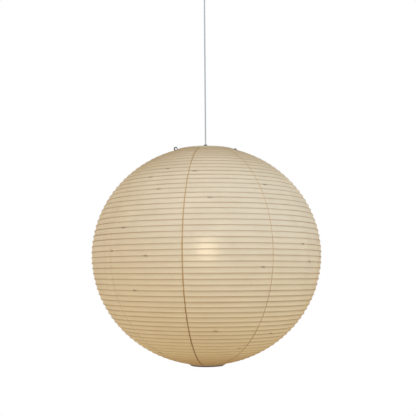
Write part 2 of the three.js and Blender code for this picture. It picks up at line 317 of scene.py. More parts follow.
# ---- Node helpers
class Shader:
    """A material whose nodes are added one at a time."""

    def __init__(self, name):
        self.material = bpy.data.materials.new(name)
        self.material.use_nodes = True
        self.tree = self.material.node_tree
        self.tree.nodes.clear()
        self.out = self.tree.nodes.new("ShaderNodeOutputMaterial")

    def add(self, kind, settings=None, **inputs):
        node = self.tree.nodes.new("ShaderNode" + kind)
        for key, value in (settings or {}).items():
            setattr(node, key, value)
        for key, value in inputs.items():
            self.set(node.inputs[key.replace("_", " ")], value)
        return node

    def set(self, socket, value):
        if isinstance(value, bpy.types.NodeSocket):
            self.tree.links.new(value, socket)
        else:
            socket.default_value = value

    def place(self):
        return self.add("TexCoord").outputs["Object"]

    def stretched(self, x=1.0, y=1.0, z=1.0):
        node = self.add("Mapping", Vector=self.place())
        node.inputs["Scale"].default_value = (x, y, z)
        return node.outputs["Vector"]

    def noise(self, scale, detail=4.0, vector=None, roughness=0.55):
        place = vector or self.place()
        node = self.add("TexNoise", Vector=place, Scale=scale, Detail=detail, Roughness=roughness)
        return node.outputs["Fac"]

    def math(self, operation, a, b=0.0, c=0.0):
        node = self.tree.nodes.new("ShaderNodeMath")
        node.operation = operation
        for socket, value in zip(node.inputs, (a, b, c)):
            self.set(socket, value)
        return node.outputs[0]

    def ramp(self, value, low, high, start=0.0, end=1.0):
        """value's range low to high, as start to end, held at both ends."""
        node = self.add("MapRange", {"clamp": True})
        keys = ("Value", "From Min", "From Max", "To Min", "To Max")
        for key, item in zip(keys, (value, low, high, start, end)):
            self.set(node.inputs[key], item)
        return node.outputs["Result"]

    def mix(self, share, a, b, blend="MIX"):
        node = self.tree.nodes.new("ShaderNodeMix")
        node.data_type = "RGBA"
        node.blend_type = blend
        self.set(node.inputs["Factor"], share)
        for socket, value in ((node.inputs[6], a), (node.inputs[7], b)):
            self.set(socket, value if isinstance(value, bpy.types.NodeSocket) else (*value, 1.0))
        return node.outputs[2]

    def attribute(self, name):
        return self.add("Attribute", {"attribute_name": name}).outputs["Fac"]

    def bump(self, height, strength, distance, normal=None):
        node = self.add("Bump", Height=height, Strength=strength, Distance=distance)
        if normal:
            self.set(node.inputs["Normal"], normal)
        return node.outputs["Normal"]

    def finish(self, surface):
        self.tree.links.new(surface, self.out.inputs["Surface"])
        return self.material

    def principled(self, colour, roughness, normal=None, **fixed):
        node = self.tree.nodes.new("ShaderNodeBsdfPrincipled")
        self.set(node.inputs["Base Color"], colour)
        self.set(node.inputs["Roughness"], roughness)
        if normal:
            self.set(node.inputs["Normal"], normal)
        for key, value in fixed.items():
            node.inputs[key.replace("_", " ")].default_value = value
        return self.finish(node.outputs[0])


# ---- Materials
GLOW = 0.195  # strength of the lamplight that the paper gives off
GLOW_TOP = (0.80, 0.50, 0.04)
GLOW_BOTTOM = (1.0, 0.60, 0.03)
BULB_WATTS = 0.7
FORWARD = 0.062  # share of the light that passes the paper almost straight, and so shows the bulb
WORLD = 0.05
KEY_WATTS = 110.0
FILL_WATTS = 66.0
BACK_WATTS = 60.0
# How dark glue and painted shadow make the paper along the bamboo.
RIB_GLUE_AND_SHADOW = 0.60
# How strongly glue and painted shade are painted at the seams.
SEAM_STRENGTH = 0.6
LOBE_ROUGHNESS = 0.7
BEHIND_PAPER = 0.6  # of GLOW: how brightly the card rims are lit through
BULB_GLOW = 0.6


def washi():
    """Mulberry paper, lit from within: long fibres, cloudy pulp, glue on the bamboo and at the seams,
    painted shadow along the bamboo and at its nodes, painted shade at the seams, and painted shade
    that makes it darker near the top and warmer, then darker brown, towards the bottom.
    Its marks are rib_mm and seam_mm, how far a rib or seam is; knot; tone and dye, one value for each
    gore; and low, 0 at the top of the paper to 1 at the bottom."""
    s = Shader("washi")
    long_fibres = s.noise(210, 5, s.stretched(1.0, 1.0, 0.22), 0.62)
    cross_fibres = s.noise(260, 5, s.stretched(0.3, 0.3, 1.0), 0.62)
    clouds = s.noise(16, 4)
    pulp = s.noise(900, 3)
    fibres = s.math("MAXIMUM", s.ramp(long_fibres, 0.60, 0.74), s.ramp(cross_fibres, 0.61, 0.75))
    flecks = s.ramp(s.noise(120, 2, s.stretched(1.0, 1.0, 0.5)), 0.745, 0.80)
    rib = s.attribute("rib_mm")
    seam = s.attribute("seam_mm")
    knot = s.attribute("knot")
    tone = s.attribute("tone")
    low = s.attribute("low")

    base = s.mix(s.ramp(clouds, 0.3, 0.7), (0.775, 0.735, 0.655), (0.82, 0.785, 0.71))
    base = s.mix(s.math("MULTIPLY", fibres, 0.30), base, (0.90, 0.88, 0.83))
    base = s.mix(s.math("MULTIPLY", flecks, 0.5), base, (0.45, 0.33, 0.20))
    base = s.mix(s.ramp(pulp, 0.3, 0.7, 0.0, 0.10), base, (0.62, 0.53, 0.40))
    base = s.mix(tone, base, (0.74, 0.68, 0.57))
    strips = s.noise(5.0, 3, s.stretched(1.0, 1.0, 9.0))
    near_top = s.ramp(low, 0.0, 0.2, 0.4, 1.0)
    # Along each turn of bamboo: glue, and the painted shadow that the bamboo casts through the paper,
    # fainter at the very top.
    rib_glue_shadow_mask = s.math("MULTIPLY", s.ramp(rib, 0.55, 1.7, 1.0, 0.0),
                    s.ramp(strips, 0.3, 0.7, 0.7 * RIB_GLUE_AND_SHADOW, 1.2 * RIB_GLUE_AND_SHADOW))
    rib_glue_shadow_mask = s.math("MULTIPLY", rib_glue_shadow_mask, near_top)
    # Painted shade: the paper is painted darker near its top, and warmer, then darker brown, towards its
    # bottom, for how the light falls there.
    base = s.mix(s.ramp(low, 0.22, 0.0, 0.0, 0.85), base, (0.56, 0.47, 0.34))
    base = s.mix(s.ramp(low, 0.40, 1.0, 0.0, 0.85), base, (0.74, 0.60, 0.34))
    base = s.mix(s.ramp(low, 0.86, 1.0, 0.0, 0.8), base, (0.47, 0.31, 0.165))
    base = s.mix(rib_glue_shadow_mask, base, (0.42, 0.235, 0.075))
    # Seams: glue, and painted shade where the paper lies double, painted stronger and darker towards the
    # bottom.
    on_seam = s.math("MULTIPLY", s.ramp(seam, 0.2, -0.3), s.attribute("dye"))
    on_seam = s.math("MULTIPLY", on_seam, s.ramp(low, 0.3, 0.9, SEAM_STRENGTH, 1.9 * SEAM_STRENGTH))
    seam_glue_shade_colour = s.mix(s.ramp(low, 0.5, 0.85), (0.48, 0.31, 0.11), (0.27, 0.145, 0.075))
    base = s.mix(s.math("MINIMUM", on_seam, 0.92), base, seam_glue_shade_colour)
    # Painted shadow of each bamboo node seen through the paper, with the glue round it.
    base = s.mix(s.math("MULTIPLY", knot, s.math("MULTIPLY", near_top, 0.9)), base, (0.20, 0.09, 0.04))

    warm = s.mix(low, GLOW_TOP, GLOW_BOTTOM)
    glow = s.mix(1.0, base, warm, "MULTIPLY")

    height = s.math("ADD", s.math("MULTIPLY", fibres, 0.6), s.math("MULTIPLY", pulp, 0.5))
    normal = s.bump(height, 0.35, 0.0004)

    front = s.add("BsdfDiffuse", Color=base, Normal=normal)
    through = s.add("BsdfTranslucent", Color=base, Normal=normal)
    lobe = s.add("BsdfRefraction", {"distribution": "GGX"}, Color=base, Roughness=LOBE_ROUGHNESS, IOR=1.13)
    shine = s.add("Emission", Color=glow, Strength=GLOW)
    body = s.add("MixShader", Fac=0.45)
    s.set(body.inputs[1], front.outputs[0])
    s.set(body.inputs[2], through.outputs[0])
    soft = s.add("MixShader", Fac=FORWARD)
    s.set(soft.inputs[1], body.outputs[0])
    s.set(soft.inputs[2], lobe.outputs[0])
    lit = s.add("AddShader")
    s.set(lit.inputs[0], soft.outputs[0])
    s.set(lit.inputs[1], shine.outputs[0])
    return s.finish(lit.outputs[0])


def bamboo():
    """Split bamboo: grain along the strip, a glossy rind, and dark nodes."""
    s = Shader("bamboo")
    grain = s.noise(700, 6, s.stretched(0.25, 0.25, 1.6), 0.6)
    patches = s.noise(9, 3)
    colour = s.mix(s.ramp(grain, 0.3, 0.7), (0.42, 0.27, 0.12), (0.60, 0.43, 0.23))
    colour = s.mix(s.ramp(patches, 0.35, 0.75, 0.0, 0.5), colour, (0.36, 0.24, 0.12))
    colour = s.mix(s.attribute("knot"), colour, (0.10, 0.055, 0.03))
    normal = s.bump(grain, 0.4, 0.0003)
    return s.principled(colour, s.ramp(grain, 0.3, 0.7, 0.35, 0.6), normal)


def drawn_wire(name, dark, light, roughness):
    """Drawn steel wire: fine lengthwise scratches, dull patches and a little tarnish."""
    s = Shader(name)
    scratches = s.noise(1500, 3, s.stretched(1.0, 1.0, 0.12))
    tarnish = s.noise(60, 5, None, 0.65)
    colour = s.mix(s.ramp(scratches, 0.3, 0.7), dark, light)
    colour = s.mix(s.ramp(tarnish, 0.52, 0.75, 0.0, 0.55), colour, (0.17, 0.13, 0.10))
    rough = s.math("ADD", s.ramp(tarnish, 0.4, 0.75, roughness, roughness + 0.25),
                   s.ramp(scratches, 0.3, 0.7, 0.0, 0.08))
    return s.principled(colour, rough, s.bump(scratches, 0.25, 0.0002), Metallic=1.0)


def moulded(name, colour, worn, roughness, grain=900.0, bump=0.15, **fixed):
    """Moulded plastic, rubber, ceramic or enamel: faint mottling, pitted grain, edges rubbed paler."""
    s = Shader(name)
    pits = s.noise(grain, 3)
    mottle = s.noise(35, 4)
    edge = s.ramp(s.add("NewGeometry").outputs["Pointiness"], 0.52, 0.62, 0.0, 0.6)
    edge = s.math("MULTIPLY", edge, s.ramp(s.noise(140, 4), 0.35, 0.65))
    dull = tuple(v * 0.86 for v in colour)
    tint = s.mix(s.ramp(mottle, 0.35, 0.7), dull, colour)
    tint = s.mix(edge, tint, worn)
    rough = s.ramp(s.math("ADD", s.math("MULTIPLY", pits, 0.6), s.math("MULTIPLY", mottle, 0.4)), 0.3, 0.7,
                   roughness, min(1.0, roughness + 0.16))
    return s.principled(tint, rough, s.bump(pits, bump, 0.0003), **fixed)


def card():
    """Paper-bound card rims: layered fibres over card that lets some lamplight by, dyed at the edge."""
    s = Shader("rim_card")
    fibres = s.noise(420, 5, s.stretched(1.0, 1.0, 0.25), 0.62)
    blot = s.noise(40, 4)
    colour = s.mix(s.ramp(fibres, 0.3, 0.7), (0.55, 0.46, 0.33), (0.66, 0.57, 0.43))
    colour = s.mix(s.ramp(blot, 0.4, 0.75, 0.0, 0.4), colour, (0.50, 0.41, 0.29))
    # Painted shade: the bottom collar is painted darker and browner lower down, by its low mark.
    colour = s.mix(s.attribute("low"), colour, (0.28, 0.15, 0.065))
    colour = s.mix(s.attribute("edge"), colour, (0.10, 0.036, 0.012))
    normal = s.bump(fibres, 0.5, 0.0004)
    board = s.add("BsdfPrincipled", Roughness=0.75, Normal=normal)
    s.set(board.inputs["Base Color"], colour)
    s.set(board.inputs["Emission Color"], s.mix(1.0, colour, GLOW_BOTTOM, "MULTIPLY"))
    board.inputs["Emission Strength"].default_value = BEHIND_PAPER * GLOW
    board.inputs["Specular IOR Level"].default_value = 0.08
    return s.finish(board.outputs[0])


def braid():
    """A light grey braided sleeve: two crossing helices of thread."""
    s = Shader("flex_cover")
    place = s.add("SeparateXYZ")
    s.set(place.inputs[0], s.place())
    around = s.math("ARCTAN2", place.outputs[1], place.outputs[0])
    up = s.math("MULTIPLY", place.outputs[2], 2200.0)
    turns = s.math("MULTIPLY", around, 6.0)
    one = s.math("SINE", s.math("ADD", up, turns))
    two = s.math("SINE", s.math("SUBTRACT", up, turns))
    weave = s.math("MAXIMUM", one, two)
    fuzz = s.noise(1400, 3)
    colour = s.mix(s.ramp(weave, -0.4, 0.9), (0.36, 0.36, 0.36), (0.56, 0.56, 0.555))
    colour = s.mix(s.ramp(fuzz, 0.4, 0.7, 0.0, 0.25), colour, (0.64, 0.64, 0.63))
    normal = s.bump(weave, 0.6, 0.0003)
    return s.principled(colour, 0.78, normal, Sheen_Weight=0.25)


def opal():
    """Opal glass, faintly swirled, that glows."""
    s = Shader("opal_glass")
    swirl = s.noise(30, 2)
    tint = s.mix(s.ramp(swirl, 0.3, 0.7), (1.0, 0.78, 0.48), (1.0, 0.83, 0.56))
    lens = s.add("BsdfPrincipled", Roughness=0.22)
    s.set(lens.inputs["Base Color"], tint)
    s.set(lens.inputs["Emission Color"], tint)
    lens.inputs["Emission Strength"].default_value = BULB_GLOW
    return s.finish(lens.outputs[0])


def screwed_metal(name, dark, light, roughness):
    """Turned or pressed metal, brushed round its axis."""
    s = Shader(name)
    rings = s.noise(1300, 2, s.stretched(0.15, 0.15, 1.0))
    cloud = s.noise(70, 4)
    colour = s.mix(s.ramp(rings, 0.35, 0.65), dark, light)
    rough = s.ramp(cloud, 0.35, 0.7, roughness, roughness + 0.2)
    return s.principled(colour, rough, s.bump(rings, 0.15, 0.0002), Metallic=1.0)


WASHI = washi()
BAMBOO = bamboo()
STEEL = drawn_wire("steel_wire", (0.06, 0.058, 0.06), (0.13, 0.127, 0.13), 0.42)
ZINC = screwed_metal("zinc_plate", (0.42, 0.43, 0.44), (0.60, 0.61, 0.62), 0.30)
CARD = card()
BRAID = braid()
DARK_RUBBER = moulded("dark_rubber", (0.045, 0.043, 0.042), (0.12, 0.12, 0.12), 0.62, 1200, 0.3)
GREY_RUBBER = moulded("grey_rubber", (0.27, 0.27, 0.27), (0.42, 0.42, 0.42), 0.6, 1200, 0.3)
PLASTIC = moulded("white_plastic", (0.74, 0.72, 0.67), (0.88, 0.87, 0.84), 0.34)
CERAMIC = moulded("ceramic", (0.80, 0.78, 0.72), (0.90, 0.89, 0.86), 0.16, 300, 0.08, Coat_Weight=0.6)
ENAMEL = moulded("white_enamel", (0.82, 0.80, 0.745), (0.92, 0.90, 0.86), 0.26, 220, 0.10, Coat_Weight=0.3)
BRASS = screwed_metal("brass", (0.60, 0.40, 0.13), (0.80, 0.58, 0.24), 0.25)
NICKEL = screwed_metal("nickel", (0.50, 0.49, 0.46), (0.68, 0.67, 0.64), 0.22)
OPAL = opal()
BROWN = moulded("core_brown", (0.13, 0.05, 0.02), (0.25, 0.12, 0.06), 0.42)
BLUE = moulded("core_blue", (0.02, 0.08, 0.32), (0.08, 0.18, 0.45), 0.42)


# ---- Flex
def hang_flex():
    low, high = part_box("flex_cord")
    curve = bpy.data.curves.new("flex_sleeve", "CURVE")
    curve.dimensions = "3D"
    curve.bevel_depth = FLEX_R * MM
    curve.bevel_resolution = 6
    curve.use_fill_caps = True
    line = curve.splines.new("POLY")
    steps = 30
    line.points.add(steps)
    for k, point in enumerate(line.points):
        point.co = (0, 0, low.z + (high.z - low.z) * k / steps, 1)
    flex = link("flex_sleeve", curve)
    settle(flex, "lantern", BRAID, "flex_cord")
    return flex


# ---- Paper
KNOTS = (  # azimuth and latitude of the dark bamboo nodes that show through the paper
    (-26, 46), (-7, 43), (-36, 40), (-26, 32), (2, 26), (35, 35), (-42, 12), (-49, 1), (-28, -2),
    (26, -7), (-36, -18), (5, -41), (26, -55), (45, -43), (51, 4), (57, -5), (-49, -60),
    (88, 30), (104, -20), (121, 8), (139, 51), (150, -33), (166, 17), (183, -8), (195, 38),
    (212, -48), (224, 11), (239, -19), (251, 29), (262, -3), (274, 47), (283, -36), (127, -58),
)


def on_globe(latitude, azimuth, inset=0.0):
    """A point on the globe, in metres, moved in along the surface's own normal."""
    lat, az = math.radians(latitude), math.radians(azimuth)
    out = Vector((math.cos(lat) / GLOBE_R, math.sin(lat) / GLOBE_H)).normalized()
    r = GLOBE_R * math.cos(lat) - inset * out.x
    z = GLOBE_H * math.sin(lat) - inset * out.y
    return Vector((r * math.sin(az), -r * math.cos(az), z)) * MM + LANTERN


def seam_azimuth(i):
    """Seams are cut and laid by hand, so they wander a little from an even spacing."""
    return SEAM_AZIMUTH + 360.0 / GORES * i + SEAM_UNEVEN[i % GORES]


def turn_height(latitude):
    """Millimetres down the surface between two turns of bamboo at a latitude."""
    lat = math.radians(latitude)
    return math.radians(RIB_PITCH) * math.hypot(GLOBE_R * math.sin(lat), GLOBE_H * math.cos(lat))


def spiral_latitude(turn):
    """The latitude that the spiral has come down to after a number of turns."""
    return RIB_FIRST - RIB_PITCH * turn + RIB_EASE * turn * turn


def spiral_turn(latitude):
    """The number of turns after which the spiral is at a latitude."""
    root = RIB_PITCH * RIB_PITCH - 4 * RIB_EASE * (RIB_FIRST - latitude)
    return (RIB_PITCH - math.sqrt(root)) / (2 * RIB_EASE)


def lift(latitude, azimuth):
    """Turns wound by hand don't lie quite level: degrees that one is lifted by at an azimuth."""
    share = min(max((latitude + 20) / 20, 0.13), 1.0)
    share *= min(1.0, (PAPER_TOP - latitude) / 10, (latitude - PAPER_BOTTOM) / 10)
    return RIB_LIFT * max(share, 0.0) * math.sin(math.radians(azimuth))


def snapped(azimuth, latitude):
    """The nearest latitude that the bamboo spiral has at an azimuth."""
    past = (azimuth - SEAM_AZIMUTH) / 360
    return spiral_latitude(round(spiral_turn(latitude) - past) + past)


def knot_at(latitude, azimuth, along, across):
    """0 to 1: how near a point is to a bamboo node; along and across are its half sizes in mm."""
    near = 0.0
    for az, lat in KNOTS:
        turn = (azimuth - az + 180) % 360 - 180
        if abs(turn) > 12 or abs(latitude - lat) > 4:
            continue
        x = math.radians(turn) * GLOBE_R * math.cos(math.radians(latitude)) / along
        y = math.radians(latitude - snapped(az, lat)) * GLOBE_H / across
        near = max(near, math.exp(-x * x - y * y))
    return near


def paper_gore(i):
    """One gore, a single sheet that sinks between the turns of bamboo and laps over its neighbour."""
    left, right = seam_azimuth(i), seam_azimuth((i + 1) % GORES) + (360.0 if i == GORES - 1 else 0.0)
    draw = random.Random(40 + i)
    rows = []
    first = math.floor(spiral_turn(PAPER_TOP)) - 1
    last = math.ceil(spiral_turn(PAPER_BOTTOM))
    for turn in range(first, last + 1):
        slack = draw.uniform(0.82, 1.18)
        wander = draw.uniform(-0.7, 0.7)
        for phase in ROW_PHASES:
            rows.append((turn + phase, phase, slack, wander))
    points, rib_mm, seam_mm, knots, low = [], [], [], [], []
    for turn, phase, slack, wander in rows:
        for column in range(-1, GORE_COLUMNS + 1):
            share = max(column, 0) / GORE_COLUMNS
            azimuth = left + (right - left) * share
            latitude = spiral_latitude(turn + (azimuth - SEAM_AZIMUTH) / 360)
            latitude = min(max(latitude, PAPER_BOTTOM), PAPER_TOP)
            raised = latitude + lift(latitude, azimuth)
            girth = math.radians(1) * GLOBE_R * math.cos(math.radians(latitude))  # mm in one degree
            lap = 0.0
            if column < 0:
                lap = SEAM_LAPS[i] + wander * math.sin(math.pi * phase)
                azimuth -= lap / girth
            sunk = 0.0 if phase in (0.0, ROW_PHASES[1], ROW_PHASES[-1]) else 4 * phase * (1 - phase)
            stiff = min(1.0, 0.45 + min(share, 1 - share) * GORE_COLUMNS / 3)
            place = Vector((azimuth * 0.11, latitude * 0.11, i * 7.0))
            bound = min(1.0, (PAPER_TOP - latitude) / 1.5, (latitude - PAPER_BOTTOM) / 1.5)
            inset = DIP * sunk * slack * stiff * bound * (1 + 0.25 * noise.noise(place))
            if column < 0:
                inset -= 0.25
            if column == GORE_COLUMNS:
                inset += 0.35
            points.append(on_globe(raised, azimuth, inset))
            pitch = turn_height(latitude)
            rib_mm.append(min(phase, 1 - phase) * pitch)
            seam_mm.append((azimuth - left) * girth)
            knots.append(knot_at(latitude, azimuth, 5.5, 2.0))
            low.append((PAPER_TOP - latitude) / (PAPER_TOP - PAPER_BOTTOM))
    width = GORE_COLUMNS + 2
    faces = []
    for r in range(len(rows) - 1):
        for c in range(width - 1):
            a = r * width + c
            faces.append((a, a + 1, a + width + 1, a + width))
    name = f"washi_gore_{i + 1}"
    mesh = bpy.data.meshes.new(name)
    mesh.from_pydata([tuple(p) for p in points], [], faces)
    tone = draw.uniform(0.0, 0.12)
    for key, values in (("rib_mm", rib_mm), ("seam_mm", seam_mm), ("knot", knots), ("low", low)):
        mark(mesh, key, values)
    for key, value in (("tone", tone), ("dye", SEAM_GLUE_AND_SHADE[i])):
        mark(mesh, key, [value] * len(points))
    gore = link(name, mesh)
    solid = bmesh.new()
    solid.from_mesh(mesh)
    bmesh.ops.remove_doubles(solid, verts=solid.verts, dist=1e-6)
    bmesh.ops.dissolve_degenerate(solid, edges=solid.edges, dist=1e-6)
    solid.to_mesh(mesh)
    solid.free()
    mesh.shade_smooth()
    settle(gore, "lantern", WASHI, f"paper_gore_{i + 1}")
    return gore


def fold_with_the_rim(piece):
    """Gives a piece of paper or bamboo a mesh of its own."""
    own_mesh(piece)


def paper():
    for i in range(GORES):
        gore = paper_gore(i)
        fold_with_the_rim(gore)


# ---- Bamboo
def bamboo_spiral():
    """One endless spiral of split bamboo, a flat-backed strip, thicker and darker at its nodes."""
    per_turn = 72
    sides = 8
    total = RIB_TURNS * per_turn
    draw = random.Random(7)
    for k in range(RIB_SPLINTS):
        first = round(k * total / RIB_SPLINTS)
        last = round((k + 1) * total / RIB_SPLINTS)
        points, knots = [], []
        uneven = draw.uniform(0, 9)
        for i in range(first, last + 1):
            turn = RIB_START + i / per_turn
            azimuth = SEAM_AZIMUTH + 360 * turn
            latitude = spiral_latitude(turn)
            knot = knot_at(latitude, azimuth, 5.0, 9.0)
            wide = 1.3 * (1 + 0.10 * noise.noise(Vector((turn * 5, uneven, 0)))) + 1.0 * knot
            deep = 1.0 + 0.35 * knot
            end = min(i - first, last - i)
            if end < 3:
                wide *= 0.35 + 0.65 * end / 3
                deep *= 0.35 + 0.65 * end / 3
            for side in range(sides):
                a = 2 * math.pi * side / sides
                shift = math.degrees(wide * math.sin(a) / GLOBE_H)
                raised = latitude + lift(latitude, azimuth) + shift
                points.append(on_globe(raised, azimuth, 1.55 - deep * math.cos(a)))
                knots.append(knot)
        count = last - first + 1
        faces = []
        for i in range(count - 1):
            for side in range(sides):
                a, b = i * sides + side, i * sides + (side + 1) % sides
                faces.append((a, b, b + sides, a + sides))
        faces.append(tuple(range(sides)))
        faces.append(tuple(range((count - 1) * sides, count * sides)))
        splint = make_piece(f"splint_strip_{k + 1}", points, faces, 60)
        mark(splint.data, "knot", knots)
        settle(splint, "lantern", BAMBOO, f"bamboo_splint_{k + 1}")
        fold_with_the_rim(splint)


# ---- Rims
def collar(outer, inner, thick):
    """The section of a paper-bound card cone between two [radius, height] points."""
    (r0, z0), (r1, z1) = outer, inner
    length = math.hypot(r1 - r0, z1 - z0)
    nx, nz = -abs(z1 - z0) / length * thick, -math.copysign(1, z0) * (r0 - r1) / length * thick
    return fillet([(r0, z0), (r1, z1), (r1 + nx, z1 + nz), (r0 + nx, z0 + nz)], 0.5)


def rims():
    segments = 160
    top = collar((100.2, 343.4), (95.6, 348.2), 1.2)
    for side, start in (("front", 180), ("back", 0)):
        slot = math.degrees(2.5 / 97)
        span = 180 - 2 * slot
        points = []
        for k in range(segments + 1):
            angle = math.radians(STRETCHER_TURN + start + slot + span * k / segments)
            wave = 0.35 * noise.noise(Vector((math.cos(angle) * 3, math.sin(angle) * 3, 1.0)))
            for r, z in top:
                place = Vector(((r + wave) * math.cos(angle), (r + wave) * math.sin(angle), z))
                points.append(place * MM + LANTERN)
        rows = len(top)
        faces = [tuple(range(rows)), tuple(range(segments * rows, (segments + 1) * rows))]
        for k in range(segments):
            for i in range(rows):
                a, b = k * rows + i, k * rows + (i + 1) % rows
                faces.append((a, b, b + rows, a + rows))
        piece = make_piece(f"top_collar_{side}_card", points, faces)
        paint(piece, "edge", 348.0, 349.6)
        paint(piece, "low", 400.0, 500.0)
        settle(piece, "lantern", CARD, f"top_collar_{side}")
    low = collar((64.9, -351.2), (52.5, -359.5), 1.2)
    piece = lathe("bottom_collar_card", low, LANTERN, 160)
    paint(piece, "edge", -357.6, -359.2)
    # The low mark: how far down the bottom collar a point is, for its painted shade.
    paint(piece, "low", -351.0, -356.0)
    settle(piece, "bottom_rim", CARD, "bottom_collar")
    wire("top_ring_wire_fine", ring_path(TOP_RING_R, TOP_RING_Z, 160), closed=True)
    wire("bottom_ring_wire_fine", ring_path(BOTTOM_RING_R, BOTTOM_RING_Z, 120), "bottom_rim", closed=True)


def paint(piece, name, start, end):
    """Marks how far each point is from one height to another, 0 to 1, for a finish to use."""
    values = []
    for v in piece.data.vertices:
        z = (v.co.z - CENTRE) / MM
        values.append(min(max((z - start) / (end - start), 0.0), 1.0))
    mark(piece.data, name, values)


# ---- Stretcher
def stretcher():
    for name, side in (("right", 1), ("left", -1)):
        arm = [(BRIDGE_EYE_R + WIRE_R + GAP, BRIDGE_Z)]
        arm += run(arm[0], (RISE_X - RISE_BEND, BRIDGE_Z), 14)
        arm += arc(RISE_X - RISE_BEND, BRIDGE_Z + RISE_BEND, RISE_BEND, -90, 0, 8)[1:]
        arm += arc(RISE_X + EYE_R, EYE_Z, EYE_R, 180, -100, 32)
        eye = len(arm) - 28
        wire(f"bridge_arm_{name}_fine", turned([(side * x, z) for x, z in arm]),
             swell=lambda i, eye=eye: 1.0 + 0.2 * min(max((i - eye) / 6, 0.0), 1.0))

        toe = BOTTOM_RING_R - LEG_X
        foot = BOTTOM_RING_Z - 2 * WIRE_R - GAP
        head = BRIDGE_Z - WIRE_R - GAP
        leg = [(LEG_X, head)]
        leg += run(leg[0], (LEG_X, foot + toe), 40)
        leg += arc(BOTTOM_RING_R, foot + toe, toe, 180, 270, 12)[1:]
        leg += [(FOOT_END, foot)]
        wire(f"stretcher_leg_{name}_fine", turned([(side * x, z) for x, z in leg]))

        height = HOLDER_Z - WIRE_R - GAP
        bar = [(side * (HOLDER_RING_R + WIRE_R + GAP), height)]
        bar += run(bar[0], (side * (LEG_X - WIRE_R - GAP), height), 6)
        wire(f"holder_bar_{name}_fine", turned(bar))
    wire("holder_ring_fine", ring_path(HOLDER_RING_R, HOLDER_Z - WIRE_R - GAP), closed=True)
    wire("bridge_ring_fine", ring_path(BRIDGE_EYE_R, BRIDGE_Z, 72), closed=True)
    flange = BRIDGE_Z + WIRE_R + GAP
    hole = FLEX_R + 2 * GAP
    grommet = [
        (hole, 338), (11, 338), (11, BRIDGE_Z - WIRE_R - GAP), (7.9, BRIDGE_Z - WIRE_R - GAP),
        (7.9, flange), (11.4, flange), (11.4, flange + 1.6), (8.2, flange + 2.6), (7.4, 353.5),
        (6.6, 360), (6.2, 365), (4.6, 366.4), (hole, 366.8),
    ]
    turned_piece("cord_grommet_fine", fillet(grommet, 0.9), LANTERN,
                 "lantern", DARK_RUBBER, 72)


# ---- Lamp holder and bulb
def ribbed(count, depth):
    """A radius that ripples round the axis, as a moulded grip does."""
    def shape(radius, height, angle):
        return radius + depth * max(0.0, math.cos(count * angle)) ** 0.5 if radius > 26 else radius
    return shape


def threaded(pitch, depth, low, high):
    """A round knuckle thread between two heights."""
    def shape(radius, height, angle):
        if not low < height < high:
            return radius
        return radius + depth * math.cos(2 * math.pi * (height / pitch + angle / (2 * math.pi)))
    return shape


def climb(radius, low, high, steps):
    """Profile points straight up at one radius."""
    return [(radius, low + (high - low) * k / steps) for k in range(steps + 1)]


def lamp_holder():
    shell = [(18.1, 63), (20, 63), *climb(19.7, 64, 80, 48), (20, 81), (20, HOLDER_Z), (26, HOLDER_Z),
             (26, HOLDER_Z + 2.4), (20, HOLDER_Z + 2.4), (20, 106), (18.1, 106)]
    turned_piece("holder_shell_fine", shell, LANTERN,
                 "lantern", PLASTIC, 96, threaded(2.6, 0.3, 64, 80))
    core = [(0, 97.2), (14.8, 97.2), (14.8, 66), (17.7, 66), (17.7, 104), (0, 104)]
    turned_piece("holder_core_fine", fillet(core, 0.6, closed=False), LANTERN,
                 "lantern", CERAMIC, 96, closed=False)
    thread = [*climb(14.3, 69, 92, 64), *reversed(climb(13.9, 69, 92, 64))]
    turned_piece("holder_thread_fine", thread, LANTERN,
                 "lantern", BRASS, 96, threaded(3.6, 0.25, 69.5, 91.5))
    contact = fillet([(0, 95.4), (6, 96.0), (6, 96.8), (0, 96.8)], 0.3, closed=False)
    turned_piece("holder_contact_fine", contact, LANTERN, "lantern", BRASS, 48, closed=False)
    cap = [(20, 106.4), (19.4, 113), (15, 120), (7, 124), (5.2, 124), (5.2, 122.2), (14, 118.4),
           (17.8, 112), (18.2, 106.4)]
    turned_piece("holder_cap_fine", fillet(cap, 2.4, steps=5), LANTERN,
                 "lantern", PLASTIC, 96)
    grip = [(0, 112), (4.8, 112), (4.8, 124.4), (7.4, 124.4), (7.4, 128.5), (5, 130)]
    for k in range(8):
        z = 131 + k * 2.3
        slim = 0.22 * k
        grip += [(4.9 - slim, z), (4.9 - slim, z + 1.3), (4.3 - slim, z + 1.6), (4.3 - slim, z + 2.0)]
    grip += [(3.0, 150), (0, 150)]
    grip = fillet(grip, 0.4, closed=False, steps=2)
    turned_piece("holder_cord_grip_fine", grip, LANTERN,
                 "lantern", GREY_RUBBER, 48, closed=False)
    ring = [(20.4, 80.5), (26.2, 80.5), *climb(27.0, 82, 88, 4), (26.2, 89.1), (20.4, 89.1)]
    turned_piece("shade_ring_fine", fillet(ring, 0.5, steps=2), LANTERN,
                 "shade_ring", PLASTIC, 240, ribbed(40, 0.45))


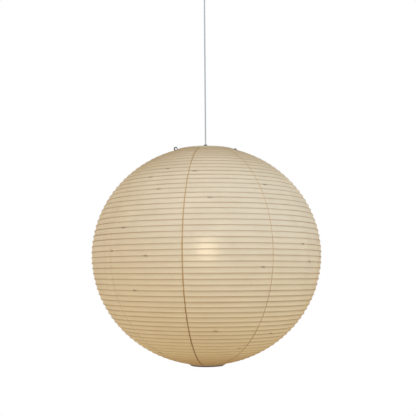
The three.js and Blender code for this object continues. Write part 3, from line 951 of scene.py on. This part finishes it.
def bulb():
    line = [(BULB_NECK_R, BULB_NECK_Z + 5), (BULB_NECK_R, BULB_NECK_Z)]
    a = math.radians(BULB_SHOULDER)
    end = (BULB_R * math.cos(a), BULB_Z + BULB_R * math.sin(a))
    for k in range(1, 9):
        t = k / 9
        ease = t * t * (3 - 2 * t)
        radius = BULB_NECK_R + (end[0] - BULB_NECK_R) * ease
        line.append((radius, BULB_NECK_Z + (end[1] - BULB_NECK_Z) * t))
    for k in range(29):
        a = math.radians(BULB_SHOULDER - (BULB_SHOULDER + 90) * k / 28)
        line.append((max(BULB_R * math.cos(a), 0.0), BULB_Z + BULB_R * math.sin(a)))
    inner = [(max(r - 0.8, 0.0), z if r > 0.8 else z + 0.8) for r, z in line]
    piece = lathe("bulb_glass_fine", [*reversed(line), *inner], LANTERN, 96, closed=False)
    settle(piece, "bulb", OPAL)
    piece.visible_shadow = False
    cap = [(12.3, 65.5), (13.0, 65.5), *climb(12.95, 67, 86, 60), (12.4, 87.5), (10, 90), (5.5, 90),
           (5.5, 89.2), (9.6, 89.2), (12.0, 86.6)]
    turned_piece("bulb_cap_fine", cap, LANTERN,
                 "bulb", NICKEL, 96, threaded(3.6, 0.35, 67.5, 85.5))
    seat = fillet([(0, 90.3), (8.6, 90.3), (5.6, 92.6), (0, 92.6)], 0.4, closed=False)
    turned_piece("bulb_insulator_fine", seat, LANTERN, "bulb", DARK_RUBBER, 48, closed=False)
    tip = fillet([(0, 92.9), (4.6, 92.9), (4, 94.2), (0, 94.8)], 0.5, closed=False)
    turned_piece("bulb_tip_fine", tip, LANTERN, "bulb_foot", NICKEL, 48, closed=False)
    data = bpy.data.lights.new("bulb_light", "POINT")
    data.energy = BULB_WATTS
    data.color = (1.0, 0.86, 0.66)
    data.shadow_soft_size = 0.9 * BULB_R * MM
    light = link("bulb_light", data)
    light.location = LANTERN + Vector((0, 0, BULB_Z * MM))
    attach(light, "bulb")


# ---- Ceiling cup
def box_piece(name, low, high, bevel=0.5):
    """A block with rounded edges, from one corner to the other in millimetres under the ceiling."""
    solid = bmesh.new()
    bmesh.ops.create_cube(solid, size=1)
    for v in solid.verts:
        share = v.co + Vector((0.5, 0.5, 0.5))
        v.co = Vector([a + (b - a) * t for a, b, t in zip(low, high, share)])
    bmesh.ops.bevel(solid, geom=solid.edges, offset=bevel, segments=3, affect="EDGES", profile=0.5)
    mesh = mesh_from(name, solid)
    mesh.transform(Matrix.Translation(TOP) @ Matrix.Scale(MM, 4))
    smooth(mesh)
    return link(name, mesh)


def bracket():
    """A bent strap with two holes up through it and one through each lug."""
    half, lug, thick, wide = 51.0, 16.0, 1.8, 9.0
    bend = 3.0
    outer = [(-half, -lug), *arc(-half + bend, -bend, bend, 180, 90, 8),
             *arc(half - bend, -bend, bend, 90, 0, 8), (half, -lug)]
    inner = [(half - thick, -lug), *arc(half - bend, -bend, bend - thick, 0, 90, 8),
             *arc(-half + bend, -bend, bend - thick, 90, 180, 8), (-half + thick, -lug)]
    outline = outer + inner
    solid = bmesh.new()
    front = [solid.verts.new((x, -wide, z)) for x, z in outline]
    back = [solid.verts.new((x, wide, z)) for x, z in outline]
    count = len(outline)
    for i in range(count):
        j = (i + 1) % count
        solid.faces.new((front[i], front[j], back[j], back[i]))
    half_count = count // 2
    for row in (front, back):
        for i in range(half_count - 1):
            solid.faces.new((row[i], row[i + 1], row[count - 2 - i], row[count - 1 - i]))
    bmesh.ops.recalc_face_normals(solid, faces=solid.faces)
    mesh = mesh_from("ceiling_bracket_fine", solid)
    mesh.transform(Matrix.Translation(TOP) @ Matrix.Scale(MM, 4))
    piece = link("ceiling_bracket_fine", mesh)
    for side in (-1, 1):
        drill(piece, (side * STRAP_SCREW_X, 0, -1), 2.4, 20, (0, 0, 1))
        drill(piece, (side * half, 0, SIDE_SCREW_Z), 2.0, 20, (1, 0, 0))
    soften(piece, 0.3)
    settle(piece, "ceiling", ZINC)


def drill(piece, at, radius, depth, along):
    """Cuts a round hole through a ceiling piece."""
    solid = bmesh.new()
    turn = Vector((0, 0, 1)).rotation_difference(Vector(along)).to_matrix().to_4x4()
    bmesh.ops.create_cone(solid, cap_ends=True, segments=32, radius1=radius * MM, radius2=radius * MM,
                          depth=depth * MM, matrix=Matrix.Translation(TOP + Vector(at) * MM) @ turn)
    cut_away(piece, solid)


def cut_away(piece, solid, overlapping=False):
    """Cuts a bmesh, whose parts may overlap, out of a piece; the bmesh is used up."""
    cutter = link("cutter", mesh_from("cutter", solid))
    cut = piece.modifiers.new("cut", "BOOLEAN")
    cut.operation = "DIFFERENCE"
    cut.solver = "EXACT"
    cut.use_self = overlapping
    cut.object = cutter
    apply_modifiers(piece)
    bpy.data.objects.remove(cutter)


def apply_modifiers(piece):
    graph = bpy.context.evaluated_depsgraph_get()
    mesh = bpy.data.meshes.new_from_object(piece.evaluated_get(graph))
    piece.modifiers.clear()
    piece.data = mesh


def soften(piece, width):
    """Rounds a piece's hard edges."""
    edge = piece.modifiers.new("edge", "BEVEL")
    edge.width = width * MM
    edge.segments = 2
    edge.limit_method = "ANGLE"
    edge.angle_limit = math.radians(40)
    apply_modifiers(piece)
    smooth(piece.data)


def screw_head(name, radius, height, shank, length):
    """A pan head with a cross recess on a threaded shank, pointing along +Z, in millimetres."""
    profile = [(0, 0), (shank, 0), *climb(shank, 0.4, length - 0.4, max(12, int(length * 5))),
               (shank, length), (radius, length), (radius, length + 0.35 * height),
               (0.72 * radius, length + 0.85 * height), (0, length + height)]
    piece = lathe(name, fillet(profile, 0.25, closed=False, steps=2), Vector((0, 0, 0)), 48,
                  threaded(0.8, 0.16, 0.5, length - 0.5), closed=False)
    cross = bmesh.new()
    for across, deep in ((0.28, 1.3), (1.3, 0.28)):
        made = bmesh.ops.create_cube(cross, size=1)["verts"]
        for v in made:
            up = length + height + v.co.z * height * 1.1
            v.co = Vector((v.co.x * radius * across, v.co.y * radius * deep, up)) * MM
    cut_away(piece, cross, overlapping=True)
    smooth(piece.data)
    return piece


def ceiling_fitting():
    bracket()
    cup = [(CUP_R - CUP_WALL, -0.6), (CUP_R, -0.6), (CUP_R, -38), (CUP_R - 3, -46), (CUP_R - 11, -CUP_H),
           (5.4, -CUP_H), (5.4, CUP_WALL - CUP_H), (CUP_R - 11.5, CUP_WALL - CUP_H),
           (CUP_R - 4.2, -45.4), (CUP_R - CUP_WALL, -37.6)]
    piece = lathe("canopy_cup_fine", fillet(cup, 4.0, steps=6), TOP, 160)
    for side in (-1, 1):
        drill(piece, (side * CUP_R, 0, SIDE_SCREW_Z), 2.0, 12, (1, 0, 0))
    smooth(piece.data)
    settle(piece, "ceiling", ENAMEL)
    for name, side in (("left", -1), ("right", 1)):
        piece = screw_head(f"canopy_screw_{name}_fine", 3.6, 2.4, 1.7, 9.0)
        turn = Matrix.Rotation(side * math.pi / 2, 4, "Y")
        piece.data.transform(Matrix.Translation(TOP + Vector((side * 46.4, 0, SIDE_SCREW_Z)) * MM) @ turn)
        settle(piece, "ceiling", ZINC)
        piece = screw_head(f"ceiling_screw_{name}_fine", 4.4, 2.3, 2.0, 1.9)
        turn = Matrix.Rotation(math.pi, 4, "X")
        piece.data.transform(Matrix.Translation(TOP + Vector((side * STRAP_SCREW_X, 0, -0.2)) * MM) @ turn)
        settle(piece, "ceiling", ZINC)
    piece = box_piece("terminal_block_fine", (-12, -7.5, -14.1), (12, 7.5, -2.1), 1.0)
    settle(piece, "ceiling", CERAMIC)
    for name, side, finish in (("brown", -1, BROWN), ("blue", 1, BLUE)):
        path = []
        for k in range(25):
            t = k / 24
            spread = 6 - 3.6 * t + 4 * math.sin(math.pi * t)
            path.append(Vector((side * spread, 0, -14.8 - 27.8 * t)) * MM + TOP)
        piece = tube(f"core_{name}_fine", path, 1.1)
        settle(piece, "ceiling", finish)
    inside, outside = CUP_WALL - CUP_H + GAP, -CUP_H - GAP
    gland = [(0, -43.6), (9, -43.6), (9, inside), (5, inside), (5, outside), (8.4, outside),
             (8.4, -55), (7, -56), (0, -56)]
    turned_piece("cord_gland_fine", fillet(gland, 0.5, closed=False), TOP,
                 "ceiling", PLASTIC, 72, closed=False)
    boot = [(0, -56.3), (6, -56.3), (6, -60)]
    for k in range(9):
        z = -60.5 - k * 2.3
        r = 5.9 - k * 0.31
        boot += [(r, z), (r, z - 1.3), (r - 0.7, z - 1.6), (r - 0.7, z - 2.0)]
    boot += [(3.0, -81.6), (2.9, -82), (0, -82)]
    turned_piece("flex_boot_fine", fillet(boot, 0.35, closed=False, steps=2), TOP,
                 "boot", GREY_RUBBER, 72, closed=False)


# ---- Studio
def studio():
    scene = bpy.context.scene
    scene.view_settings.view_transform = "Standard"
    world = bpy.data.worlds.new("studio")
    scene.world = world
    world.use_nodes = True
    tree = world.node_tree
    tree.nodes.clear()
    new, join = tree.nodes.new, tree.links.new
    out = new("ShaderNodeOutputWorld")
    soft = new("ShaderNodeBackground")
    soft.inputs["Color"].default_value = (0.86, 0.93, 1.0, 1)
    soft.inputs["Strength"].default_value = WORLD
    white = new("ShaderNodeBackground")
    white.inputs["Color"].default_value = (1, 1, 1, 1)
    white.inputs["Strength"].default_value = 1.0
    ray = new("ShaderNodeLightPath")
    pick = new("ShaderNodeMixShader")
    join(ray.outputs["Is Camera Ray"], pick.inputs[0])
    join(soft.outputs[0], pick.inputs[1])
    join(white.outputs[0], pick.inputs[2])
    join(pick.outputs[0], out.inputs[0])

    for name, at, size, watts, colour in (
        ("key", (2.2, -2.4, CENTRE + 1.4), 1.8, KEY_WATTS, (0.73, 0.87, 1.0)),
        ("fill", (-2.6, -2.0, CENTRE + 0.9), 2.2, FILL_WATTS, (0.95, 0.98, 1.0)),
        ("back", (0.4, 2.9, CENTRE + 1.3), 2.2, BACK_WATTS, (0.95, 0.97, 1.0)),
    ):
        data = bpy.data.lights.new(name, "AREA")
        data.energy = watts
        data.color = colour
        data.size = size
        lamp = link(name, data)
        lamp.location = at
        lamp.rotation_mode = "QUATERNION"
        lamp.rotation_quaternion = (LANTERN - Vector(at)).to_track_quat("-Z", "Y")

    floor_z = CENTRE - FLOOR_DROP
    points = [Vector((0, 0, floor_z))]
    sides = 96
    for k in range(sides):
        a = 2 * math.pi * k / sides
        points.append(Vector((FLOOR_R * math.cos(a), FLOOR_R * math.sin(a), floor_z)))
    faces = [(0, k + 1, (k + 1) % sides + 1) for k in range(sides)]
    floor = make_piece("floor", points, faces)
    plaster = moulded("floor_plaster", (0.90, 0.90, 0.89), (0.92, 0.92, 0.91), 0.7, 60, 0.1)
    floor.data.materials.append(plaster)


flex_sleeve = hang_flex()
paper()
bamboo_spiral()
rims()
stretcher()
lamp_holder()
bulb()
ceiling_fitting()
studio()
